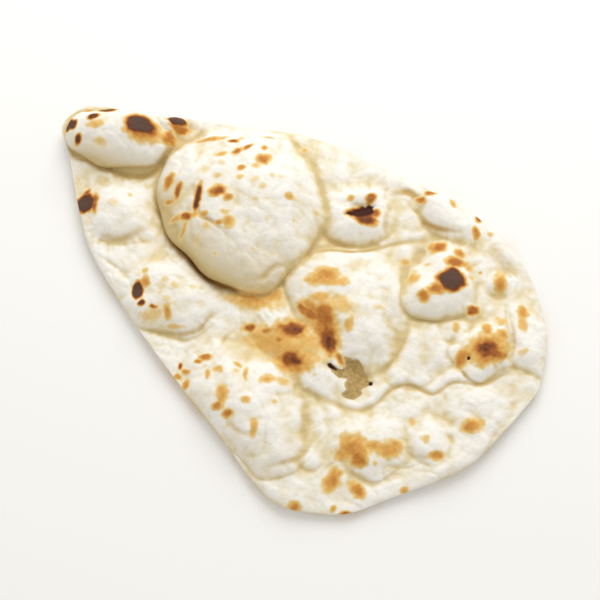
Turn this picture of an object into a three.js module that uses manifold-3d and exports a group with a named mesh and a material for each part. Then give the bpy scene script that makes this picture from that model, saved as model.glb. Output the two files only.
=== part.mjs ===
// A naan: one leaf-shaped flatbread, puffed into blisters on top and flat underneath.
// Millimetres. +X runs from the narrow tip to the broad end, +Y across the bread and +Z up.
// The origin is in the middle of the underside, on the surface that the bread lies on.
import * as THREE from 'three'
import { mergeVertices } from 'three/addons/utils/BufferGeometryUtils.js'
import Module from 'manifold-3d'

// Driving sizes.
const LENGTH = 346 // from the tip to the broad end
const WIDTH = 223 // across the broad end
const SHEET_TOP = 8 // height of the plain sheet between the blisters
const RIM_ROUNDING = 8 // how far in from the edge the sheet rounds over
const RIM_TOP = 4.4 // height at which the rounded edge turns from the top to the side
const RIM_FOOT = 2.6 // height at which the side turns under
const RIM_LIFT = 0.9 // how much the edge rises and dips on its way round
const TIP_CURL = 3.5 // how far the narrow tip curls up off the surface
const TIP_CURL_SPREAD = 22 // degrees to either side of the tip over which the curl fades
const FLAT_SHARE = 0.7 // share of the way to the edge after which the underside starts to rise
const UNDERCUT = 1 // dough below the resting plane, cut off to leave a truly flat underside

// Grid of the skin: cells along and across, and how closely its rows crowd towards the edge.
const CELLS_LONG = 72
const CELLS_WIDE = 46
const EDGE_CROWDING = 0.05
const SKIN_SPAN = 2.4 // the skin's height is evened out over this distance, under half a cell

const CURVE_STEPS = 12 // steps from one point of the outline to the next
const CREASE_STEPS = 6 // the same for a crease

const TURN = 2 * Math.PI
const DEGREE = Math.PI / 180

// The outline, clockwise from the tip along the far side, round the broad end and back.
const OUTLINE = [
  [-170, 4], [-168, 22], [-157, 31], [-138, 40], [-121, 48], [-108, 57], [-72, 75], [-38, 93],
  [2, 101], [48, 109], [72, 112], [121, 102], [157, 74], [173, 43], [174, 28], [169, -15],
  [160, -38], [137, -73], [125, -91], [109, -103], [90, -112], [70, -111], [38, -101], [0, -90],
  [-47, -75], [-99, -54], [-124, -36], [-154, -9],
]

// The blisters, each an oval. at is the middle, size the length and the width at the foot, and
// turn the direction of the length (degrees from +X). bulges push the foot out (or in, where
// negative) by so many millimetres in one direction. rise is the height over the sheet. The wall
// is steepest on the side that it faces, where its roundness is wall, and it slopes off as back
// on the far side: 0.5 stands upright and over 1 runs out softly. pinch is the depth of the
// crease at the foot of the steep side.
const BLISTERS = {
  roll: {
    at: [-136, 19], size: [70, 45], turn: 33, bulges: [[-14, 3], [-125, -3]],
    rise: 16, faces: -80, wall: 0.62, back: 0.8, pinch: 1.4,
  },
  crown: {
    at: [-46, 29], size: [112, 100], turn: 128, bulges: [[-25, 6], [38, 6], [178, 7]],
    rise: 24, faces: -88, wall: 0.62, back: 1.25, pinch: 1.6,
  },
  burst: {
    at: [17, 66], size: [50, 46], turn: 30, bulges: [[-146, 3], [60, 3]],
    rise: 6, faces: -70, wall: 0.9, back: 1.5, pinch: 0.9,
  },
  shoulder: {
    at: [62, 99], size: [56, 26], turn: 2, bulges: [[-20, 3]],
    rise: 5, faces: -90, wall: 1, back: 1.5, pinch: 0.4,
  },
  charred: {
    at: [85, 61], size: [58, 48], turn: 110, bulges: [[-121, 3], [117, 3], [155, -3]],
    rise: 9, faces: -85, wall: 0.75, back: 1.5, pinch: 0.9,
  },
  browned: {
    at: [130, 40], size: [44, 37], turn: 100, bulges: [[-133, 4], [-5, 2]],
    rise: 5, faces: -70, wall: 0.85, back: 1.4, pinch: 0.9,
  },
  rimside: {
    at: [149, 64], size: [50, 29], turn: 132, bulges: [[-60, 3]],
    rise: 3, faces: -140, wall: 1, back: 1.5, pinch: 0.5,
  },
  dome: {
    at: [50, 15], size: [90, 76], turn: -12, bulges: [[74, 6], [16, -3], [-45, 3], [-99, -2]],
    rise: 10, faces: -165, wall: 0.8, back: 1.4, pinch: 0.7,
  },
  toasted: {
    at: [44, -25], size: [96, 38], turn: 0, bulges: [[150, 5], [-30, 4]],
    rise: 4.5, faces: -100, wall: 1, back: 1.6, pinch: 0.8,
  },
  long: {
    at: [34, -73], size: [94, 62], turn: -8, bulges: [[-36, 5], [155, 3], [-82, -2]],
    rise: 9, faces: -45, wall: 0.95, back: 1.35, pinch: 0.4,
  },
  west: {
    at: [-46, -48], size: [64, 56], turn: -5, bulges: [[28, 5], [-52, -3], [-142, -3]],
    rise: 9, faces: -60, wall: 0.95, back: 1.5, pinch: 0.6,
  },
  neck: {
    at: [-107, -21], size: [58, 42], turn: 22, bulges: [[60, 3]],
    rise: 6.5, faces: -40, wall: 1.2, back: 1.7, pinch: 0.3,
  },
  golden: {
    at: [110, -51], size: [48, 40], turn: 20, bulges: [[150, 4], [-45, 3]],
    rise: 4.5, faces: -60, wall: 0.95, back: 1.4, pinch: 0.5,
  },
  button: {
    at: [86, -77], size: [17, 16], turn: 0, bulges: [],
    rise: 2.2, faces: -90, wall: 0.9, back: 1.3, pinch: 0.4,
  },
  lobe: {
    at: [134, -28], size: [31, 26], turn: 0, bulges: [[100, 3]],
    rise: 3, faces: -60, wall: 1, back: 1.5, pinch: 0.4,
  },
  apron: {
    at: [150, 9], size: [54, 38], turn: 80, bulges: [[-60, 4]],
    rise: 3.5, faces: -30, wall: 1, back: 1.6, pinch: 0.3,
  },
  hillock: {
    at: [103, 13], size: [44, 38], turn: 90, bulges: [[40, 4], [-110, 4]],
    rise: 3.5, faces: -60, wall: 1, back: 1.6, pinch: 0.4,
  },
}
const DOME_CURVE = 2.1 // how flat a blister is over its middle before its wall falls away
const WALL_FOCUS = 2 // how closely the steep wall keeps to the side that it faces
const PINCH_WIDTH = 2.4 // half width of the crease round a blister's foot
const BULGE_SPREAD = 28 // degrees to either side of a bulge over which it fades
const BLEND = 3 // how softly one blister runs into the next

// Round pimples on top of the blisters: middle, radius and rise.
const PIMPLES = [
  { at: [-115, 48], radius: 9, rise: 6.5 },
  { at: [115, 81], radius: 8, rise: 2.6 },
  { at: [110, 39], radius: 9, rise: 2.2 },
  { at: [112, 55], radius: 6, rise: 1.8 },
]
const PIMPLE_ROUNDNESS = 0.9

// Creases pressed into the skin along a curve. step raises the side on the left of the run,
// where one fold of dough lies over the next, and fades out over STEP_FADE.
const CREASES = {
  middle: {
    run: [
      [60, -45], [88, -39], [97, -28], [100, -14], [108, -5], [122, -2], [128, 11], [142, 20],
      [150, 39], [171, 45],
    ],
    depth: 0.9, width: 2, step: 0.8,
  },
  north: {
    run: [[5, 23], [16, 35], [28, 42], [37, 51], [48, 65], [60, 76]],
    depth: 1.2, width: 2.4, step: 0,
  },
  burstFoot: { run: [[2, 46], [10, 43], [21, 45], [36, 51]], depth: 1, width: 2.4, step: 0 },
  shoulderFoot: { run: [[48, 90], [56, 87], [66, 88], [77, 93]], depth: 1.2, width: 2.4, step: 0 },
  domeSide: { run: [[84, 28], [88, 17], [90, 4], [89, -6], [85, -14]], depth: 0.9, width: 2.8, step: 0 },
  brownedSide: { run: [[133, 66], [140, 59], [146, 50], [148, 42]], depth: 0.9, width: 2.4, step: 0 },
  westFoot: {
    run: [[-40, -70], [-33, -66], [-24, -61], [-18, -53], [-17, -43], [-14, -37]],
    depth: 1, width: 2.6, step: 0,
  },
  southeast: { run: [[124, -13], [138, -10], [160, -12]], depth: 0.6, width: 3, step: 0 },
  hollow: { run: [[24, 89], [35, 98], [50, 94]], depth: 1.2, width: 4, step: 0 },
  neck: { run: [[-108, -42], [-92, -34], [-82, -14]], depth: 0.8, width: 4, step: 0 },
  south: { run: [[67, -99], [79, -82], [80, -66]], depth: 0.8, width: 3, step: 0 },
  crownFoot: {
    run: [[-90, 0], [-77, -5], [-59, -15], [-31, -20], [-6, -14], [5, 1]],
    depth: 2, width: 5, step: 0,
  },
  rollFoot: {
    run: [[-154, -6], [-138, -2], [-119, 2], [-106, 12], [-102, 33]],
    depth: 2, width: 3.5, step: 0,
  },
}
const STEP_FADE = 12
const STEP_SOFTNESS = 1.5

// The hole of the burst blister, and the spot where the dome's skin has torn and sunk: ovals
// again, each pressed in by its depth.
const CRATERS = [
  { at: [18, 71], size: [22, 13], turn: 36, depth: 5 },
  { at: [75, -20], size: [22, 16], turn: 0, depth: 1.6 },
]

// A closed smooth curve through the outline's points, fitted to the length and the width.
function fittedOutline() {
  const points = OUTLINE.map(([x, y]) => new THREE.Vector3(x, y, 0))
  const curve = new THREE.CatmullRomCurve3(points, true, 'catmullrom', 0.5)
  const steps = points.length * CURVE_STEPS
  const samples = []
  for (let i = 0; i < steps; i += 1) {
    samples.push(curve.getPoint(i / steps))
  }
  const box = new THREE.Box3().setFromPoints(samples)
  const middle = box.getCenter(new THREE.Vector3())
  const size = box.getSize(new THREE.Vector3())
  return samples.map((p) => ({
    x: ((p.x - middle.x) * LENGTH) / size.x,
    y: ((p.y - middle.y) * WIDTH) / size.y,
  }))
}

const rimBearings = fittedOutline()
  .map(({ x, y }) => ({ bearing: Math.atan2(y, x), distance: Math.hypot(x, y) }))
  .sort((a, b) => a.bearing - b.bearing)

// Distance from the origin to the edge of the bread in one direction.
function edgeDistance(bearing) {
  const count = rimBearings.length
  let next = rimBearings.findIndex((rim) => rim.bearing >= bearing)
  if (next < 0) next = 0
  const after = rimBearings[next]
  const before = rimBearings[(next + count - 1) % count]
  const span = (after.bearing - before.bearing + TURN) % TURN
  const along = (bearing - before.bearing + TURN) % TURN
  return THREE.MathUtils.lerp(before.distance, after.distance, span > 0 ? along / span : 0)
}

// Distance from the middle of an oval to its edge in one direction.
function ovalReach(oval, bearing) {
  const fromLength = bearing - oval.turn * DEGREE
  const along = Math.cos(fromLength) / (oval.size[0] / 2)
  const across = Math.sin(fromLength) / (oval.size[1] / 2)
  return 1 / Math.hypot(along, across)
}

// The same for a blister, with its bulges.
function footReach(blister, bearing) {
  let reach = ovalReach(blister, bearing)
  for (const [direction, amount] of blister.bulges) {
    const away = Math.abs(bearing / DEGREE - direction) % 360
    const turned = Math.min(away, 360 - away)
    reach += amount * Math.exp(-((turned / BULGE_SPREAD) ** 2))
  }
  return reach
}

// How far out a point lies in an oval: 0 in the middle and 1 on the edge.
function ovalShare(oval, x, y) {
  const dx = x - oval.at[0]
  const dy = y - oval.at[1]
  return Math.hypot(dx, dy) / ovalReach(oval, Math.atan2(dy, dx))
}

// Height of one blister over the sheet at a point, and the depth of the crease round it.
function blisterAt(blister, x, y) {
  const dx = x - blister.at[0]
  const dy = y - blister.at[1]
  const distance = Math.hypot(dx, dy)
  const bearing = Math.atan2(dy, dx)
  const foot = footReach(blister, bearing)
  const steepness = (0.5 + 0.5 * Math.cos(bearing - blister.faces * DEGREE)) ** WALL_FOCUS
  const roundness = THREE.MathUtils.lerp(blister.back, blister.wall, steepness)
  const fall = Math.max(0, 1 - (distance / foot) ** DOME_CURVE)
  const pinched = Math.exp(-(((distance - foot) / PINCH_WIDTH) ** 2))
  return {
    height: blister.rise * fall ** roundness,
    crease: blister.pinch * steepness * pinched,
  }
}

// The higher of two heights, rounded where they meet.
function blend(a, b) {
  const joined = 0.5 * (a + b + Math.hypot(a - b, BLEND))
  return joined - 0.5 * BLEND * Math.exp(-Math.max(a, b) / BLEND)
}

// Distance from a point to a crease, and whether the point lies on the left of its run.
const creaseCurves = Object.values(CREASES).map((crease) => {
  const points = crease.run.map(([x, y]) => new THREE.Vector3(x, y, 0))
  const curve = new THREE.CatmullRomCurve3(points, false, 'catmullrom', 0.5)
  return { ...crease, samples: curve.getPoints((points.length - 1) * CREASE_STEPS) }
})
function creaseAt(crease, x, y) {
  let nearest = Infinity
  let left = false
  for (let i = 1; i < crease.samples.length; i += 1) {
    const a = crease.samples[i - 1]
    const ex = crease.samples[i].x - a.x
    const ey = crease.samples[i].y - a.y
    const along = ((x - a.x) * ex + (y - a.y) * ey) / (ex * ex + ey * ey)
    const t = THREE.MathUtils.clamp(along, 0, 1)
    const px = x - a.x - t * ex
    const py = y - a.y - t * ey
    const distance = Math.hypot(px, py)
    if (distance < nearest) {
      nearest = distance
      left = ex * py - ey * px > 0
    }
  }
  const groove = Math.exp(-((nearest / crease.width) ** 2))
  const faded = Math.exp(-((nearest / STEP_FADE) ** STEP_SOFTNESS))
  const raised = left ? crease.step * faded * (1 - groove) : 0
  return raised - crease.depth * groove
}

// The sum of a few waves at a point, each given by its height, how fast it turns along X and
// along Y (radians a millimetre) and its start.
function ripple(waves, x, y) {
  return waves.reduce((sum, [height, kx, ky, start]) => sum + height * Math.sin(kx * x + ky * y + start), 0)
}

// The slow waves of the hand-stretched sheet.
const SHEET_WAVES = [
  [0.9, 0.045, 0.03, 1], [0.8, -0.03, 0.07, 2.1], [0.5, 0.11, -0.05, 0.5], [0.4, 0.06, 0.14, 4],
]

// The smaller lumps of the dough: two crossing waves, bent by slower ones.
const LUMP_RISE = 0.5
const LUMP_CROSSING = [[[1, 0.21, 0.09, 0]], [[1, -0.05, 0.23, 1]]]
const LUMP_BEND_X = [[5, 0, 0.08, 1.3], [3, 0, 0.19, 0]]
const LUMP_BEND_Y = [[5, 0.07, 0, 0.4], [3, 0.17, 0, 2]]
function lumps(x, y) {
  const u = x + ripple(LUMP_BEND_X, x, y)
  const v = y + ripple(LUMP_BEND_Y, x, y)
  return LUMP_RISE * ripple(LUMP_CROSSING[0], u, v) * ripple(LUMP_CROSSING[1], u, v)
}

// The sheet is stretched unevenly, which bends every blister out of a true oval.
const STRETCH_X = [[2.2, 0, 0.085, 0.7], [1.1, 0.05, 0.21, 0]]
const STRETCH_Y = [[2.2, 0.08, 0, 2], [1.1, 0.19, -0.06, 1]]
function stretched(x, y) {
  return [x + ripple(STRETCH_X, x, y), y + ripple(STRETCH_Y, x, y)]
}

// Height of the top skin, before it rounds over at the edge.
function skinHeight(x, y) {
  const [sx, sy] = stretched(x, y)
  let raised = 0
  let crease = 0
  for (const blister of Object.values(BLISTERS)) {
    const here = blisterAt(blister, sx, sy)
    raised = blend(raised, here.height)
    crease = Math.max(crease, here.crease)
  }
  let height = SHEET_TOP + ripple(SHEET_WAVES, x, y) + lumps(x, y) + raised - crease
  for (const { at, radius, rise } of PIMPLES) {
    const away = Math.hypot(x - at[0], y - at[1]) / radius
    height += rise * Math.max(0, 1 - away ** 2) ** PIMPLE_ROUNDNESS
  }
  for (const crater of CRATERS) {
    height -= crater.depth * Math.exp(-(ovalShare(crater, x, y) ** 2))
  }
  for (const crease of creaseCurves) {
    height += creaseAt(crease, x, y)
  }
  return height
}

// The same height evened out over SKIN_SPAN, so that a steep wall crosses the grid cleanly.
function evenSkinHeight(x, y) {
  const around = [[0, 0], [SKIN_SPAN, 0], [-SKIN_SPAN, 0], [0, SKIN_SPAN], [0, -SKIN_SPAN]]
  const heights = around.map(([dx, dy]) => skinHeight(x + dx, y + dy))
  return heights.reduce((sum, height) => sum + height, 0) / heights.length
}

// How far the edge is lifted off its usual height at one bearing. It waves 3 and 7 times on its
// way round.
const RIM_WAVES = [[0.8, 3, 0, 1], [0.4, 7, 0, 2]]
function rimLift(bearing) {
  const fromTip = (Math.PI - Math.abs(bearing)) / (TIP_CURL_SPREAD * DEGREE)
  return RIM_LIFT * (1 + ripple(RIM_WAVES, bearing, 0)) + TIP_CURL * Math.exp(-(fromTip ** 2))
}

function topHeight(x, y, bearing, edge) {
  const inward = THREE.MathUtils.clamp((edge - Math.hypot(x, y)) / RIM_ROUNDING, 0, 1)
  const rounded = Math.sqrt(1 - (1 - inward) ** 2)
  return THREE.MathUtils.lerp(RIM_TOP + rimLift(bearing), evenSkinHeight(x, y), rounded)
}

function undersideHeight(x, y, bearing, edge) {
  const share = Math.hypot(x, y) / edge
  const outward = THREE.MathUtils.clamp((share - FLAT_SHARE) / (1 - FLAT_SHARE), 0, 1)
  return THREE.MathUtils.lerp(-UNDERCUT, RIM_FOOT + rimLift(bearing), outward ** 2)
}

// A point of the square grid from -1 to 1, carried onto the leaf-shaped sheet.
function placeOnSheet(u, v) {
  const across = u * Math.sqrt(1 - (v * v) / 2)
  const along = v * Math.sqrt(1 - (u * u) / 2)
  const inset = Math.max(0, 1 - Math.hypot(across, along))
  const crowded = ((1 + EDGE_CROWDING) * inset * inset) / (inset + EDGE_CROWDING)
  const bearing = Math.atan2((along * WIDTH) / 2, (across * LENGTH) / 2)
  const edge = edgeDistance(bearing)
  const distance = edge * (1 - crowded)
  return { x: distance * Math.cos(bearing), y: distance * Math.sin(bearing), bearing, edge }
}

// Each square of the grid is cut along its shorter diagonal, so no triangle is a thin sliver.
function cutShorterDiagonals(geometry) {
  const index = geometry.index.array
  const corner = (i) => new THREE.Vector3().fromBufferAttribute(geometry.attributes.position, i)
  for (let i = 0; i < index.length; i += 6) {
    const [a, b, d, , c] = index.slice(i, i + 6)
    if (corner(a).distanceTo(corner(c)) < corner(b).distanceTo(corner(d))) {
      index.set([a, b, c, a, c, d], i)
    }
  }
}

// The skin of the bread: a flat box whose two faces are shaped into the top and the underside.
function skinGeometry() {
  const box = new THREE.BoxGeometry(2, 2, 2, CELLS_LONG, CELLS_WIDE, 1)
  const position = box.attributes.position
  for (let i = 0; i < position.count; i += 1) {
    const { x, y, bearing, edge } = placeOnSheet(position.getX(i), position.getY(i))
    const height = position.getZ(i) > 0 ? topHeight : undersideHeight
    position.setXYZ(i, x, y, height(x, y, bearing, edge))
  }
  box.deleteAttribute('normal')
  box.deleteAttribute('uv')
  const skin = mergeVertices(box, 1e-4)
  cutShorterDiagonals(skin)
  return skin
}

const wasm = await Module()
wasm.setup()

function solidFrom(geometry) {
  const vertProperties = new Float32Array(geometry.attributes.position.array)
  const triVerts = new Uint32Array(geometry.index.array)
  return new wasm.Manifold(new wasm.Mesh({ numProp: 3, vertProperties, triVerts }))
}

// Everything below the resting plane is cut away.
function restingSlab() {
  const margin = 40
  const thickness = 10
  const slab = new THREE.BoxGeometry(LENGTH + margin, WIDTH + margin, thickness)
  slab.translate(0, 0, -thickness / 2)
  slab.deleteAttribute('normal')
  slab.deleteAttribute('uv')
  return mergeVertices(slab)
}

function naanMesh() {
  const mesh = solidFrom(skinGeometry()).subtract(solidFrom(restingSlab())).getMesh()
  const geometry = new THREE.BufferGeometry()
  geometry.setAttribute('position', new THREE.BufferAttribute(mesh.vertProperties, 3))
  geometry.setIndex(new THREE.BufferAttribute(mesh.triVerts, 1))
  geometry.computeVertexNormals()
  const crust = new THREE.MeshStandardMaterial({ color: 0xf2e9d2, roughness: 0.85, metalness: 0 })
  const naan = new THREE.Mesh(geometry, crust)
  naan.name = 'naan'
  return naan
}

const group = new THREE.Group()
group.add(naanMesh())

export default group
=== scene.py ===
import math
import random

import bmesh
import bpy
import numpy as np
from mathutils import Matrix, Vector, noise


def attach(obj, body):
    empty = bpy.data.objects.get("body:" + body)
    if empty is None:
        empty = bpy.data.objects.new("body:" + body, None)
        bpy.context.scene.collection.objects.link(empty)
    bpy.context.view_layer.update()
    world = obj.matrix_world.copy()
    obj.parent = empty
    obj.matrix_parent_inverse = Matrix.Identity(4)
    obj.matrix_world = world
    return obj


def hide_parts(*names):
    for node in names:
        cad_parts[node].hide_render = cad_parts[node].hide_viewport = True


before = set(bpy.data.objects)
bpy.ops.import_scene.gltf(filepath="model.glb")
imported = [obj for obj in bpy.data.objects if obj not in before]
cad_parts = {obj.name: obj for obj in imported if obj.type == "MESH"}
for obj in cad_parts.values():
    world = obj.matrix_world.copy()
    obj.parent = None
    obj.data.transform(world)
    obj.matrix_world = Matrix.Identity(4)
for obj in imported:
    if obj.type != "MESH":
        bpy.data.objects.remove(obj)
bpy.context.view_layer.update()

# ---------------------------------------------------------------------------------------------
# The naan: one sheet of leavened dough, stretched by hand into a leaf and baked stuck to the
# wall of a clay oven. Steam lifts its skin into blisters, and the highest of them toast and
# char. Millimetres from here on, until the mesh is scaled to metres.
# ---------------------------------------------------------------------------------------------
LENGTH = 346.0  # from the tip to the broad end
WIDTH = 223.0  # across the broad end
SHEET_TOP = 8.0  # height of the plain sheet between the blisters
RIM_ROUNDING = 8.0  # how far in from the edge the sheet rounds over
RIM_TOP = 4.4  # height at which the rounded edge turns from the top to the side
RIM_FOOT = 2.6  # height at which the side turns under
RIM_LIFT = 0.9  # how much the edge rises and dips on its way round
TIP_CURL = 3.5  # how far the narrow tip curls up off the surface
TIP_CURL_SPREAD = math.radians(22)  # to either side of the tip, where the curl fades
FLAT_SHARE = 0.7  # share of the way to the edge after which the underside starts to rise
UNDERCUT = 1.0  # dough below the resting plane, cut off to leave a truly flat underside

# The outline, clockwise from the tip along the far side, round the broad end and back.
OUTLINE = [
    (-170, 4), (-168, 22), (-157, 31), (-138, 40), (-121, 48), (-108, 57), (-72, 75), (-38, 93),
    (2, 101), (48, 109), (72, 112), (121, 102), (157, 74), (173, 43), (174, 28), (169, -15),
    (160, -38), (137, -73), (125, -91), (109, -103), (90, -112), (70, -111), (38, -101), (0, -90),
    (-47, -75), (-99, -54), (-124, -36), (-154, -9),
]
CURVE_STEPS = 12  # steps from one point of the outline to the next


def through(points, steps, closed):
    """A smooth curve through the points, with that many steps from one to the next."""
    p = np.array(points, float)
    if closed:
        before, here, after, beyond = np.roll(p, 1, 0), p, np.roll(p, -1, 0), np.roll(p, -2, 0)
    else:
        ends = np.vstack([2 * p[0] - p[1], p, 2 * p[-1] - p[-2]])
        before, here, after, beyond = ends[:-3], ends[1:-2], ends[2:-1], ends[3:]
    samples = []
    for t in np.arange(steps) / steps:
        samples.append(0.5 * (
            2 * here + (after - before) * t
            + (2 * before - 5 * here + 4 * after - beyond) * t**2
            + (3 * (here - after) + beyond - before) * t**3
        ))
    curve = np.stack(samples, 1).reshape(-1, p.shape[1])
    return curve if closed else np.vstack([curve, p[-1]])


rim = through(OUTLINE, CURVE_STEPS, closed=True)
rim_low, rim_high = rim.min(0), rim.max(0)
rim = (rim - (rim_low + rim_high) / 2) * (LENGTH, WIDTH) / (rim_high - rim_low)
rim_bearing = np.arctan2(rim[:, 1], rim[:, 0])
rim_distance = np.hypot(rim[:, 0], rim[:, 1])
rim_order = np.argsort(rim_bearing)


def edge_distance(bearing):
    """How far the edge lies from the middle of the sheet in one direction."""
    return np.interp(bearing, rim_bearing[rim_order], rim_distance[rim_order], period=math.tau)


# The blisters, each an oval. at is the middle, size the length and the width at the foot, and
# turn the direction of the length. bulges push the foot out, or in where negative, by so many
# millimetres in one direction, and rise is the height over the sheet. The wall is steepest on the
# side that it faces, with the roundness wall there and back on the far side. pinch is the depth of
# the crease round the foot, and tuck how far the foot is drawn in under the wall. Directions are
# in degrees.
BLISTERS = {
    "roll": dict(at=(-136, 19), size=(70, 45), turn=33, bulges=[(-14, 3), (-125, -3)],
                 rise=16, faces=-80, wall=0.62, back=0.8, pinch=1.4, tuck=1.8),
    "crown": dict(at=(-46, 29), size=(112, 100), turn=128,
                  bulges=[(-25, 6), (38, 6), (178, 7)],
                  rise=24, faces=-88, wall=0.62, back=1.25, pinch=1.6, tuck=2.2),
    "burst": dict(at=(17, 66), size=(50, 46), turn=30, bulges=[(-146, 3), (60, 3)],
                  rise=6, faces=-70, wall=0.9, back=1.5, pinch=0.9, tuck=0.2),
    "shoulder": dict(at=(62, 99), size=(56, 26), turn=2, bulges=[(-20, 3)],
                     rise=5, faces=-90, wall=1, back=1.5, pinch=0.4, tuck=0.2),
    "charred": dict(at=(85, 61), size=(58, 48), turn=110,
                    bulges=[(-121, 3), (117, 3), (155, -3)],
                    rise=9, faces=-85, wall=0.75, back=1.5, pinch=0.9, tuck=0.6),
    "browned": dict(at=(130, 40), size=(44, 37), turn=100, bulges=[(-133, 4), (-5, 2)],
                    rise=5, faces=-70, wall=0.85, back=1.4, pinch=0.9, tuck=0.4),
    "rimside": dict(at=(149, 64), size=(50, 29), turn=132, bulges=[(-60, 3)],
                    rise=3, faces=-140, wall=1, back=1.5, pinch=0.5, tuck=0),
    "dome": dict(at=(50, 15), size=(90, 76), turn=-12,
                 bulges=[(74, 6), (16, -3), (-45, 3), (-99, -2)],
                 rise=10, faces=-165, wall=0.8, back=1.4, pinch=0.7, tuck=0.3),
    "toasted": dict(at=(44, -25), size=(96, 38), turn=0, bulges=[(150, 5), (-30, 4)],
                    rise=4.5, faces=-100, wall=1, back=1.6, pinch=0.8, tuck=0),
    "long": dict(at=(34, -73), size=(94, 62), turn=-8, bulges=[(-36, 5), (155, 3), (-82, -2)],
                 rise=9, faces=-45, wall=0.95, back=1.35, pinch=0.4, tuck=0.2),
    "west": dict(at=(-46, -48), size=(64, 56), turn=-5, bulges=[(28, 5), (-52, -3), (-142, -3)],
                 rise=9, faces=-60, wall=0.95, back=1.5, pinch=0.6, tuck=0.2),
    "neck": dict(at=(-107, -21), size=(58, 42), turn=22, bulges=[(60, 3)],
                 rise=6.5, faces=-40, wall=1.2, back=1.7, pinch=0.3, tuck=0),
    "golden": dict(at=(110, -51), size=(48, 40), turn=20, bulges=[(150, 4), (-45, 3)],
                   rise=4.5, faces=-60, wall=0.95, back=1.4, pinch=0.5, tuck=0.2),
    "button": dict(at=(86, -77), size=(17, 16), turn=0, bulges=[],
                   rise=2.2, faces=-90, wall=0.9, back=1.3, pinch=0.4, tuck=0),
    "lobe": dict(at=(134, -28), size=(31, 26), turn=0, bulges=[(100, 3)],
                 rise=3, faces=-60, wall=1, back=1.5, pinch=0.4, tuck=0),
    "apron": dict(at=(150, 9), size=(54, 38), turn=80, bulges=[(-60, 4)],
                  rise=3.5, faces=-30, wall=1, back=1.6, pinch=0.3, tuck=0),
    "hillock": dict(at=(103, 13), size=(44, 38), turn=90, bulges=[(40, 4), (-110, 4)],
                    rise=3.5, faces=-60, wall=1, back=1.6, pinch=0.4, tuck=0),
}
DOME_CURVE = 2.1  # how flat a blister is over its middle before its wall falls away
WALL_FOCUS = 2.0  # how closely the steep wall keeps to the side that it faces
PINCH_WIDTH = 2.4  # half width of the crease round a blister's foot
BLEND = 3.0  # how softly one blister runs into the next
BULGE_SPREAD = 28.0  # degrees to either side of a bulge over which it fades


def oval_reach(size, turn, bearing):
    """Distance from the middle of an oval to its edge in one direction."""
    from_length = bearing - math.radians(turn)
    return 1 / np.hypot(np.cos(from_length) / (size[0] / 2), np.sin(from_length) / (size[1] / 2))


# A wave is its height, how fast it turns along X and along Y in radians a millimetre, and its
# start. The sheet is stretched unevenly, which bends every blister out of a true oval.
STRETCH_X = [(2.2, 0, 0.085, 0.7), (1.1, 0.05, 0.21, 0)]
STRETCH_Y = [(2.2, 0.08, 0, 2), (1.1, 0.19, -0.06, 1)]


def ripple(waves, x, y):
    """The sum of a few waves at each point."""
    return sum(rise * np.sin(kx * x + ky * y + start) for rise, kx, ky, start in waves)


def stretched(x, y):
    """Where a place on the sheet lay before the sheet was stretched."""
    return x + ripple(STRETCH_X, x, y), y + ripple(STRETCH_Y, x, y)


def blister_polar(blister, x, y):
    """Bearing and distance from a blister's middle, its foot there, and how steep the wall is."""
    x, y = stretched(x, y)
    dx, dy = x - blister["at"][0], y - blister["at"][1]
    bearing = np.arctan2(dy, dx)
    steep = (0.5 + 0.5 * np.cos(bearing - math.radians(blister["faces"])))**WALL_FOCUS
    foot = oval_reach(blister["size"], blister["turn"], bearing) - blister["tuck"] * steep
    for direction, amount in blister["bulges"]:
        away = np.abs(np.degrees(bearing) - direction) % 360
        foot = foot + amount * np.exp(-(np.minimum(away, 360 - away) / BULGE_SPREAD)**2)
    return bearing, np.hypot(dx, dy), foot, steep


def blend(a, b):
    """The higher of two heights, rounded where they meet."""
    joined = 0.5 * (a + b + np.hypot(a - b, BLEND))
    return joined - 0.5 * BLEND * np.exp(-np.maximum(a, b) / BLEND)


# Round pimples on top of the blisters: middle, radius, rise.
PIMPLES = [(-115, 48, 9, 6.5), (115, 81, 8, 2.6), (110, 39, 9, 2.2), (112, 55, 6, 1.8)]
PIMPLE_ROUNDNESS = 0.9

# Creases pressed into the skin along a curve: the curve, depth, half width, and how much the
# side on the left of the run is raised where one fold of dough lies over the next.
CREASES = {
    "middle": ([(60, -45), (88, -39), (97, -28), (100, -14), (108, -5), (122, -2), (128, 11),
                (142, 20), (150, 39), (171, 45)], 0.9, 2.0, 0.8),
    "north": ([(5, 23), (16, 35), (28, 42), (37, 51), (48, 65), (60, 76)], 1.2, 2.4, 0),
    "burst foot": ([(2, 46), (10, 43), (21, 45), (36, 51)], 1, 2.4, 0),
    "shoulder foot": ([(48, 90), (56, 87), (66, 88), (77, 93)], 1.2, 2.4, 0),
    "dome side": ([(84, 28), (88, 17), (90, 4), (89, -6), (85, -14)], 0.9, 2.8, 0),
    "browned side": ([(133, 66), (140, 59), (146, 50), (148, 42)], 0.9, 2.4, 0),
    "west foot": ([(-40, -70), (-33, -66), (-24, -61), (-18, -53), (-17, -43), (-14, -37)],
                  1, 2.6, 0),
    "southeast": ([(124, -13), (138, -10), (160, -12)], 0.6, 3, 0),
    "hollow": ([(24, 89), (35, 98), (50, 94)], 1.2, 4, 0),
    "neck": ([(-108, -42), (-92, -34), (-82, -14)], 0.8, 4, 0),
    "south": ([(67, -99), (79, -82), (80, -66)], 0.8, 3, 0),
    "crown foot": ([(-90, 0), (-77, -5), (-59, -15), (-31, -20), (-6, -14), (5, 1)], 2, 5, 0),
    "roll foot": ([(-154, -6), (-138, -2), (-119, 2), (-106, 12), (-102, 33)], 2, 3.5, 0),
}
CREASE_STEPS = 6  # steps from one point of a crease to the next
CREASE_TAPER = 0.7  # how blunt the two ends of a crease's colour are
STEP_FADE = 12.0  # how far from a crease its raised side sinks back to the sheet
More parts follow.
